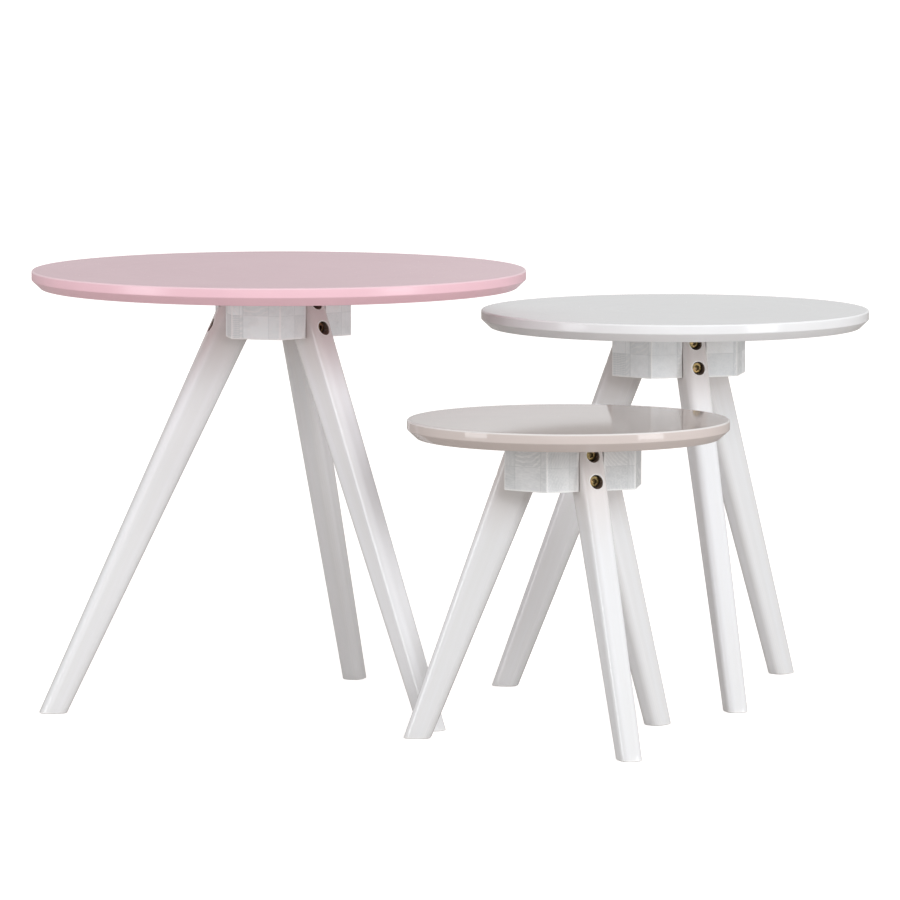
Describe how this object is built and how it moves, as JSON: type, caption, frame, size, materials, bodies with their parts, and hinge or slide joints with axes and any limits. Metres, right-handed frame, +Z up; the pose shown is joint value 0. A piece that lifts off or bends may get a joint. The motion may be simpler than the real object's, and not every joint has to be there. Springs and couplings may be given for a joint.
{
  "type": "nesting tables",
  "caption": "Nest of round side tables in stepped sizes, each with a chamfered top on a slotted hub block and splayed tapered legs.",
  "frame": {"origin": "on the floor, at the middle of the outline of the three tables as they stand", "axes": "+Z up, +X to the right along the nest, -Y towards the front"},
  "size_m": [0.8539, 0.7398, 0.446],
  "materials": {
    "large_top_lacquer": "satin pink lacquer",
    "medium_top_lacquer": "satin white lacquer",
    "small_top_lacquer": "satin greige lacquer",
    "washed_wood": "white-washed glued wood with visible grain",
    "white_lacquer": "glossy white lacquer",
    "yellow_zinc": "yellow zinc plating"
  },
  "bodies": {
    "large_table": {"large_top": "large_top_lacquer", "large_hub": "washed_wood", "large_left_leg": "white_lacquer", "large_front_leg": "white_lacquer", "large_back_leg": "white_lacquer", "large_left_leg_screws": "yellow_zinc", "large_front_leg_screws": "yellow_zinc", "large_back_leg_screws": "yellow_zinc", "large_top_screws": "yellow_zinc"},
    "medium_table": {"medium_top": "medium_top_lacquer", "medium_hub": "washed_wood", "medium_left_leg": "white_lacquer", "medium_front_leg": "white_lacquer", "medium_back_leg": "white_lacquer", "medium_left_leg_screws": "yellow_zinc", "medium_front_leg_screws": "yellow_zinc", "medium_back_leg_screws": "yellow_zinc", "medium_top_screws": "yellow_zinc"},
    "small_table": {"small_top": "small_top_lacquer", "small_hub": "washed_wood", "small_left_leg": "white_lacquer", "small_front_leg": "white_lacquer", "small_back_leg": "white_lacquer", "small_left_leg_screws": "yellow_zinc", "small_front_leg_screws": "yellow_zinc", "small_back_leg_screws": "yellow_zinc", "small_top_screws": "yellow_zinc"}
  },
  "joints": [
    {"name": "medium_slide", "type": "slide", "parent": "large_table", "child": "medium_table", "axis": [0.9848, 0.1736, 0], "range_m": [-0.12, 0.25]},
    {"name": "small_slide", "type": "slide", "parent": "large_table", "child": "small_table", "axis": [0.766, -0.6428, 0], "range_m": [-0.1, 0.25]}
  ]
}
